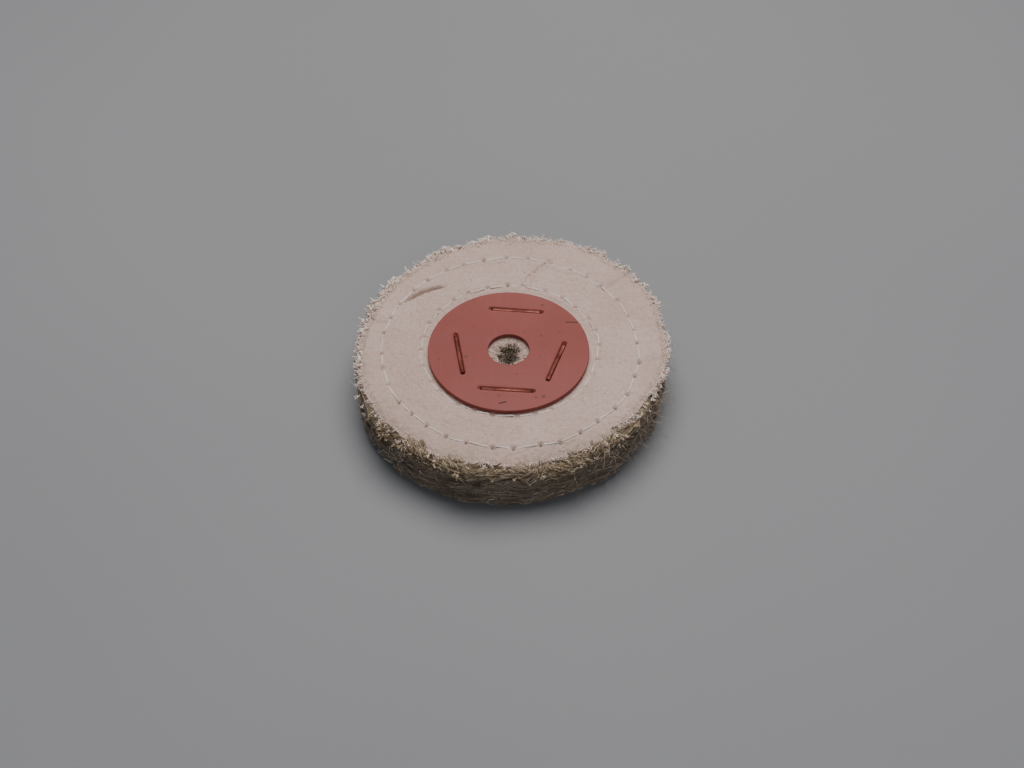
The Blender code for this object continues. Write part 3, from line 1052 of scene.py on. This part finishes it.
def side_threads(strands, rng, count):
    """Pale lint and bits of thread caught on the side, most of them left and right of the front."""
    angle = np.radians(270 + rng.choice([-1, 1], count) * rng.normal(48, 26, count))
    out = cut_radius(angle, PACK_CUT, 0, 0) + rng.uniform(0.3, 0.9, count) * MM
    root = headed(angle) * out[:, None]
    root[:, 2] = rng.uniform(-7.5, 5, count) * MM
    way = sideways(headed(angle)) * rng.choice([-1, 1], (count, 1))
    way = unit(way + rng.normal(0, 0.35, root.shape) * [1, 1, 2])
    length = rng.gamma(3, 0.5, count) * MM + 0.4 * MM
    radius = rng.choice([0.05, 0.09, 0.17], count, p=[0.5, 0.35, 0.15]) * MM
    strands.sprout(rng, root, way, length, radius, droop=0.1, curl=0.15, points=6)


def add_locks(strands, rng, read, angle, length, half, fibres, rise=0.0):
    """Bundles of sisal that leave the cloth together, then lean sideways and hang."""
    count, points = len(angle), 8
    root, way = read(angle)
    root[:, 2] += (rng.uniform(-0.7, 0.6, count) * (rise == 0) + rise) * half
    lean = np.sign(wobble(angle, 77, 6, 24, 1.0)) * rng.uniform(0.5, 1.3, count)
    aside = sideways(way) * lean[:, None]
    hang = np.array([0, 0, -1]) * rng.uniform(0.0, 0.5, (count, 1)) * (0.3 if rise else 1)
    share = np.linspace(0, 1, points)[None, :, None]
    length = length[:, None, None]
    out = way * rng.uniform(0.75, 1.1, (count, 1))
    axis = root[:, None] + length * out[:, None] * (share - 0.38 * share**2)
    axis = axis + length * aside[:, None] * share**1.7 + length * hang[:, None] * share**1.8
    axis[:, :, 2] += 0.35 * MM * rise * np.sin(share[:, :, 0] * math.pi)
    waist = 1 - 0.65 * np.abs(2 * share - 1) ** 1.5
    spread = rng.normal(0, 1, (count, fibres, 1, 3)) * 0.34 * MM * waist[:, None]
    splay = rng.normal(0, 1, (count, fibres, 1, 3)) * 0.07 * length[:, None] * share[:, None] ** 2
    reach = rng.uniform(0.65, 1.0, (count, fibres, 1, 1))
    centre = axis[:, None, :1] + (axis[:, None] - axis[:, None, :1]) * reach + spread + splay
    centre = centre.reshape(-1, points, 3)
    taper = rng.uniform(0.08, 0.15, (len(centre), 1)) * MM * np.linspace(1, 0.5, points)[None]
    strands.add(centre, taper)


def add_mat(strands, rng, read, count, half):
    """Loose sisal fibres that lie along the side, matted over the plies."""
    points = 9
    start = rng.uniform(0, TURN, (count, 1))
    run = rng.gamma(4, 1.7, (count, 1)) * MM / CLOTH_RADIUS * rng.choice([-1, 1], (count, 1))
    share = np.linspace(0, 1, points)[None, :]
    root, way = read((start + run * share).ravel())
    away = rng.uniform(-0.1, 0.5, (count, 1)) + rng.normal(0, 0.3, (count, 1)) * share**2
    centre = (root + way * [1, 1, 0] * (away.reshape(-1, 1)) * MM).reshape(count, points, 3)
    level = rng.uniform(-1.5, 1.4, (count, 1)) * half + rng.normal(0, 0.35 * MM, (count, 1)) * share
    centre[:, :, 2] += level + 0.12 * MM * np.sin(share * rng.uniform(3, 12, (count, 1)))
    radius = np.repeat(rng.uniform(0.06, 0.13, (count, 1)) * MM, points, axis=1)
    strands.add(centre, radius)


def bore_sisal(strands, rng, level, count):
    """Sisal fibres torn loose by the punch, across the hole at this height."""
    angle = rng.uniform(0, TURN, count)
    root = headed(angle) * (CLOTH_BORE + 0.2 * MM)
    root[:, 2] = level + rng.uniform(-0.8, 0.8, count) * MM
    way = unit(-headed(angle) + rng.normal(0, 0.45, root.shape) * [1, 1, 0.4])
    length = rng.uniform(0.8, 3.2, count) * MM
    strands.sprout(rng, root, way, length, rng.uniform(0.05, 0.11, count) * MM, droop=0.1, curl=0.25)


def sisal_fray(surface, seed, half, top):
    """Cut sisal yarns in locks, fibres matted along the side, and a few stray hairs.

    Half is half the ply's thickness; the top ply has more and longer locks.
    """
    rng = np.random.default_rng(seed)
    read = edge_reader(surface, 0.8 * MM)
    strands = Strands()
    place, _ = yarn_ends(SISAL_YARN_PITCH, rng.uniform(0, TURN))
    place = place + rng.normal(0, 0.01, len(place))
    front = 0.5 - 0.5 * np.sin(place)
    longest = 0.5 + (3.3 if top else 1.4) * front**2
    length = rng.uniform(0.55, 1.0, len(place)) * longest * MM
    add_locks(strands, rng, read, place, length, half, 16 if top else 12)
    add_mat(strands, rng, edge_reader(surface, 0), 350 if top else 1100, half)
    if top:
        for inset, count in LOCK_RINGS:
            ring = edge_reader(surface, inset * MM)
            angle = np.radians(rng.uniform(*LOCK_SPAN, count))
            add_locks(strands, rng, ring, angle, rng.uniform(1.8, 3.6, count) * MM, half, 13, 1.35)
        add_crumbs(strands, rng, read, 50, (205, 325), -0.8, 2.8, 1.0)
        bore_sisal(strands, rng, surface[0, 0, 2], TORN_SISAL[0])
    angle = np.radians(rng.normal(330, 18, STRAY_HAIRS))
    root, way = read(angle)
    way = unit(way * [1, 1, 0.3] + rng.normal(0, 0.5, way.shape))
    length = rng.uniform(2.5, 6.5, STRAY_HAIRS) * MM
    radius = rng.uniform(0.05, 0.11, STRAY_HAIRS) * MM
    strands.sprout(rng, root, way, length, radius, droop=0.1, curl=0.3, points=8)
    return strands


# ---- plates, staples and thread ----


def plate_grid(side):
    """A fibre plate with soft edges, and a trough pressed in by each staple."""
    segments, rows, corner = 640, 84, 0.22 * MM
    angle = angles(segments)[None, :]
    radius = np.linspace(PLATE_BORE + corner, PLATE_RADIUS - corner, rows)[:, None]
    x, y = polar(radius, angle)
    height = PLATE_FACE + ripple(x, y, 41 + side, 17 * MM, 0.03 * MM, 8)
    trough = WIRE_THICKNESS + 0.12 * MM
    for middle, direction, length in STAPLES.values():
        reach = direction * (length / 2 - 0.1 * MM)
        distance = segment_distance(x, y, middle - reach, middle + reach)
        inside = 1 - smooth(distance, WIRE_WIDTH / 2 - 0.02 * MM, WIRE_WIDTH / 2 + 0.16 * MM)
        lip = bell(distance - WIRE_WIDTH / 2 - 0.45 * MM, 0.28 * MM)
        height += 0.10 * MM * lip - trough * inside
        height -= 0.10 * MM * bell(distance, 2.2 * MM)
    if side == REAR:
        height = np.minimum(height, PLATE_FACE) - 0.03 * MM
    top = np.stack([x, y, height], axis=-1)
    turn = np.linspace(0, math.pi / 2, 5)[1:-1, None]

    def corner_rows(edge, out, face, up, turns):
        ring = edge + out * corner * np.sin(turns)
        level = face + up * corner * (np.cos(turns) - 1)
        return np.stack([*polar(ring, angle), level + 0 * angle], axis=-1)

    rim_top = corner_rows(PLATE_RADIUS - corner, 1, PLATE_FACE, 1, turn)
    rim_low = corner_rows(PLATE_RADIUS - corner, 1, PLATE_BACK, -1, turn[::-1])
    bore_low = corner_rows(PLATE_BORE + corner, -1, PLATE_BACK, -1, turn)
    bore_top = corner_rows(PLATE_BORE + corner, -1, PLATE_FACE, 1, turn[::-1])
    back = np.stack([x[::-12], y[::-12], 0 * y[::-12] + PLATE_BACK], axis=-1)
    grid = np.concatenate([top, rim_top, rim_low, back, bore_low, bore_top])
    return grid * [1, 1, side]


def staple_path():
    """The wire's middle line, (along, height), from one clinched tip to the other."""
    half = STAPLE_LENGTH / 2 - WIRE_THICKNESS / 2
    up = STAPLE_FACE - WIRE_THICKNESS / 2
    bend = WIRE_BEND
    tip = half - CLINCH_LENGTH
    corner = np.linspace(0, math.pi / 2, 5)
    low = [(half - bend + bend * math.sin(a), -up + bend - bend * math.cos(a)) for a in corner]
    high = [(half - bend + bend * math.cos(a), up - bend + bend * math.sin(a)) for a in corner]
    leg = [(half, level) for level in np.linspace(-up + 2 * bend, up - 2 * bend, 6)]
    crown = [(along, up) for along in np.linspace(half - 2 * bend, 0, 9)]
    flat = [(along, -up) for along in np.linspace(tip, half - 2 * bend, 6)]
    right = np.array(flat + low + leg + high + crown)
    left = right[-2::-1] * [-1, 1]
    return np.concatenate([right, left])


def add_staple(name):
    """Flat wire with rounded edges, swept along the staple's path."""
    middle, direction, _ = STAPLES[name]
    path = staple_path()
    rng = np.random.default_rng(int(name[-1]))
    along = unit(np.gradient(path, axis=0))
    inward = np.stack([-along[:, 1], along[:, 0]], axis=1)
    wide = np.array([-direction[1], direction[0], 0])
    plane = np.array([[*direction, 0], [0, 0, 1]])
    corner = WIRE_THICKNESS * 0.36
    profile = []
    for across, deep in ((1, 1), (-1, 1), (-1, -1), (1, -1)):
        start = math.atan2(deep, across) - math.pi / 4
        for turn in np.linspace(start, start + math.pi / 2, 4):
            profile.append(
                (
                    across * (WIRE_WIDTH / 2 - corner) + corner * math.cos(turn),
                    deep * (WIRE_THICKNESS / 2 - corner) + corner * math.sin(turn),
                )
            )
    profile = np.array(profile)
    sides = len(profile)
    centre = path @ plane + [*middle, 0]
    bow = bell(path[:, 0], 5 * MM) * np.sign(path[:, 1])
    centre[:, 2] += bow * rng.uniform(-0.05, 0.08) * MM
    crooked = 0.08 * MM * np.sin(path[:, 0] / STAPLE_LENGTH * 5 + rng.uniform(0, 6))
    centre += wide * crooked[:, None]
    rings = centre[:, None] + profile[None, :, :1] * wide
    rings = rings + profile[None, :, 1:] * (inward @ plane)[:, None]
    cap = fan(sides)
    quads = grid_faces(len(path), sides, False)
    vertices = rings.reshape(-1, 3)
    caps = np.concatenate([cap[:, ::-1], (len(path) - 1) * sides + cap])
    if volume(vertices, quads) < 0:
        quads, caps = quads[:, ::-1], caps[:, ::-1]
    return add_mesh(f"{name}_wire", vertices, quads, caps[:, ::-1])


def thread_path(holes, surface, side, rng):
    """A thread's way round a ring: along the cloth, and down into every needle hole."""
    points = []
    for start, end in zip(holes, np.roll(holes, -1, axis=0)):
        run = end - start
        length = np.hypot(*run)
        near = 1.0 * MM / length
        shares = np.array([0, near, 0.3, 0.5, 0.7, 1 - near])
        plan = start + shares[:, None] * run
        across = np.array([-run[1], run[0]]) / length
        slack = rng.normal(0, 0.16 * MM) * np.sin(math.pi * shares)
        plan = plan + slack[:, None] * across
        height = surface_height(surface, plan) * side
        sunk = rng.random() * (0.55 + 0.45 * np.sin(np.arctan2(start[1], start[0])))
        proud, tilt = 0.13 - 0.44 * sunk, rng.normal(0, 0.15)
        lift = np.array([-0.9, tilt - 0.1, proud + tilt / 2, proud, proud - tilt / 2, -0.1 - tilt]) * MM
        points.append(np.column_stack([plan, side * (height + lift)]))
    return np.concatenate(points)


def closed_curve(points, step):
    """Evenly spaced points on a smooth closed curve through these points."""
    dense = []
    share = np.linspace(0, 1, 12, endpoint=False)[:, None]
    for i in range(len(points)):
        a, b, c, d = (points[(i + k) % len(points)] for k in (-1, 0, 1, 2))
        curve = 2 * b + (c - a) * share + (2 * a - 5 * b + 4 * c - d) * share**2
        dense.append((curve + (3 * b - a - 3 * c + d) * share**3) / 2)
    dense = np.concatenate(dense)
    closed = np.concatenate([dense, dense[:1]])
    run = np.concatenate([[0], np.cumsum(np.linalg.norm(np.diff(closed, axis=0), axis=1))])
    wanted = np.linspace(0, run[-1], int(run[-1] / step), endpoint=False)
    return np.stack([np.interp(wanted, run, column) for column in closed.T], axis=1), wanted


def thread_grid(path, run):
    """A two-ply twisted thread as a grid: rows round its section, segments along it."""
    along = unit(np.roll(path, -1, axis=0) - np.roll(path, 1, axis=0))
    radial = unit(path * [1, 1, 0])
    up = unit(np.cross(radial, along))
    twist = np.round(run[-1] / THREAD_TWIST) * TURN * run / run[-1]
    turn = angles(10)[:, None]
    lobes = 0.80 + 0.24 * np.abs(np.cos(turn - twist / 2))
    ring = np.cos(turn)[..., None] * radial + np.sin(turn)[..., None] * up
    return path + ring * (THREAD_RADIUS * lobes)[..., None]


# ---- putting it together ----


def finish_piece(item, material, node=None):
    item.data.materials.append(material)
    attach(item, BODY)
    if node:
        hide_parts(node)


def add_face_ply(side, materials):
    """A cotton face ply with its frayed edge, and the stitches that lie on it."""
    front = side == FRONT
    word, seed = "front" if front else "rear", FACE_SEED[side]
    grid, surface = face_ply(side, seed)
    ply = add_ring_solid(f"{word}_cotton", grid)
    finish_piece(ply, materials["cotton"], f"{word}_cotton_ply")
    strands = cotton_fray(surface, seed + 20, side, 0.95, LINT[side], LINT_REACH[side])
    nap(strands, surface, seed + 21, side, NAP)
    bore_lint(strands, surface, seed + 22, BORE_LINT)
    if front:
        rim_beads(strands, surface, seed + 23)
        read = edge_reader(surface, 0)
        rng = np.random.default_rng(seed + 24)
        for crumbs in CRUMBS:
            add_crumbs(strands, rng, read, *crumbs)
        side_threads(strands, rng, SIDE_THREADS)
    fray = strands.build(f"{word}_cotton_fray")
    finish_piece(fray, materials["lint"])
    kind = "needle" if front else "bobbin"
    rng = np.random.default_rng(seed + 25)
    for ring, holes in HOLES.items():
        path, run = closed_curve(thread_path(holes, surface, side, rng), THREAD_STEP)
        thread = add_ring_solid(f"{kind}_stitches_{ring}", thread_grid(path, run))
        finish_piece(thread, materials["thread"], f"{kind}_thread_{ring}")


def add_inner_plies(materials):
    """The plies between the face plies, from the front down."""
    names = [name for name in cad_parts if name.startswith(("inner_cotton", "sisal"))]
    names.sort(key=lambda name: -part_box(name)[1][2])
    for i, name in enumerate(names):
        cotton = name.startswith("inner_cotton")
        low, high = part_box(name)[0][2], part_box(name)[1][2]
        grid, surface = inner_ply(low, high, PLY_SEED + 10 * i, cotton, i < SHOWN_PLIES)
        label = name.replace("_ply", "")
        ply = add_ring_solid(label, grid)
        cloth, loose, slot = "sisal", "matted" if i else "tufts", "sisal_cloth"
        # Inner cotton plies take the darker copies of cloth and lint: painted shade on the side of the
        # pack
        if cotton:
            cloth, loose, slot = "soiled", "soiled_lint", "cotton_cloth"
        finish_piece(ply, materials[cloth], name)
        if cotton:
            strands = cotton_fray(surface, FRAY_SEED + i, FRONT, 0.35, INNER_LINT, 0.5)
        else:
            strands = sisal_fray(surface, FRAY_SEED + i, (high - low) / 2, i == 0)
            if i == TORN_PLY:
                rng = np.random.default_rng(BORE_SEED)
                for above in (0.5, -1.0):
                    bore_sisal(strands, rng, high + above * MM, TORN_SISAL[1])
        fray = strands.build(f"{label}_fray")
        finish_piece(fray, materials[loose])


def add_hardware(materials):
    """Fibre plates and staples."""
    for side, word in ((FRONT, "front"), (REAR, "rear")):
        plate = add_ring_solid(f"{word}_plate", plate_grid(side))
        finish_piece(plate, materials["fibre"], f"{word}_fibre_plate")
    for name in STAPLES:
        finish_piece(add_staple(name), materials["wire"], name)


def add_light(name, place, size, power, colour):
    """A round lamp that shines on the middle of the wheel."""
    light = bpy.data.lights.new(name, "AREA")
    light.shape, light.size, light.energy, light.color = "DISK", size, power, colour
    item = add_object(name, light)
    item.location = place
    item.rotation_euler = Vector(place).to_track_quat("Z", "Y").to_euler()


def add_studio():
    """A pale floor, soft light from above and behind, and the camera."""
    corners = [(x * FLOOR_HALF, y * FLOOR_HALF, FLOOR) for x, y in ((-1, -1), (1, -1), (1, 1), (-1, 1))]
    floor = add_mesh("floor", corners, [(0, 1, 2, 3)])
    floor.data.materials.append(pale_floor())
    for lamp in LAMPS:
        add_light(*lamp)
    world = bpy.data.worlds.new("studio")
    world.use_nodes = True
    sky = world.node_tree.nodes["Background"].inputs
    sky["Color"].default_value = SKY
    sky["Strength"].default_value = SKY_STRENGTH
    bpy.context.scene.world = world
    camera = add_object("camera", bpy.data.cameras.new("camera"))
    camera.data.lens = FOCAL_LENGTH
    camera.data.sensor_width = 36
    camera.data.clip_start = 0.01
    back = CAMERA_DISTANCE * math.cos(CAMERA_ELEVATION)
    up = CAMERA_DISTANCE * math.sin(CAMERA_ELEVATION)
    camera.location = (CAMERA_TARGET[0], CAMERA_TARGET[1] - back, PLATE_FACE + up)
    camera.rotation_euler = (math.pi / 2 - CAMERA_ELEVATION, 0, 0)
    bpy.context.scene.camera = camera


def build():
    woven = ((0.42, 0.33, 0.22), (0.27, 0.20, 0.125), (0.12, 0.085, 0.05), True)
    golden = ((0.92, 0.78, 0.56), (0.44, 0.31, 0.18), (0.09, 0.055, 0.03))
    dusty = ((0.51, 0.41, 0.32), (0.34, 0.263, 0.19), (0.17, 0.125, 0.085))
    materials = {
        "cotton": cotton_cloth("bleached_cotton", 1.0),
        "lint": cotton_fibre("cotton_fibre", 1.0),
        # Darker copies of the cloth and lint for the inner cotton plies: painted shade on the side of
        # the pack
        "soiled": cotton_cloth("soiled_cotton", 0.55),
        "soiled_lint": cotton_fibre("soiled_fibre", 0.62),
        "sisal": sisal_fibre("sisal_cloth", *woven),
        "tufts": sisal_fibre("sisal_tufts", *golden),
        "matted": sisal_fibre("matted_sisal", *dusty),
        "fibre": vulcanised_fibre(),
        "wire": coppered_wire(),
        "thread": sewing_thread(),
    }
    add_studio()
    for side in (FRONT, REAR):
        add_face_ply(side, materials)
    add_inner_plies(materials)
    add_hardware(materials)


build()
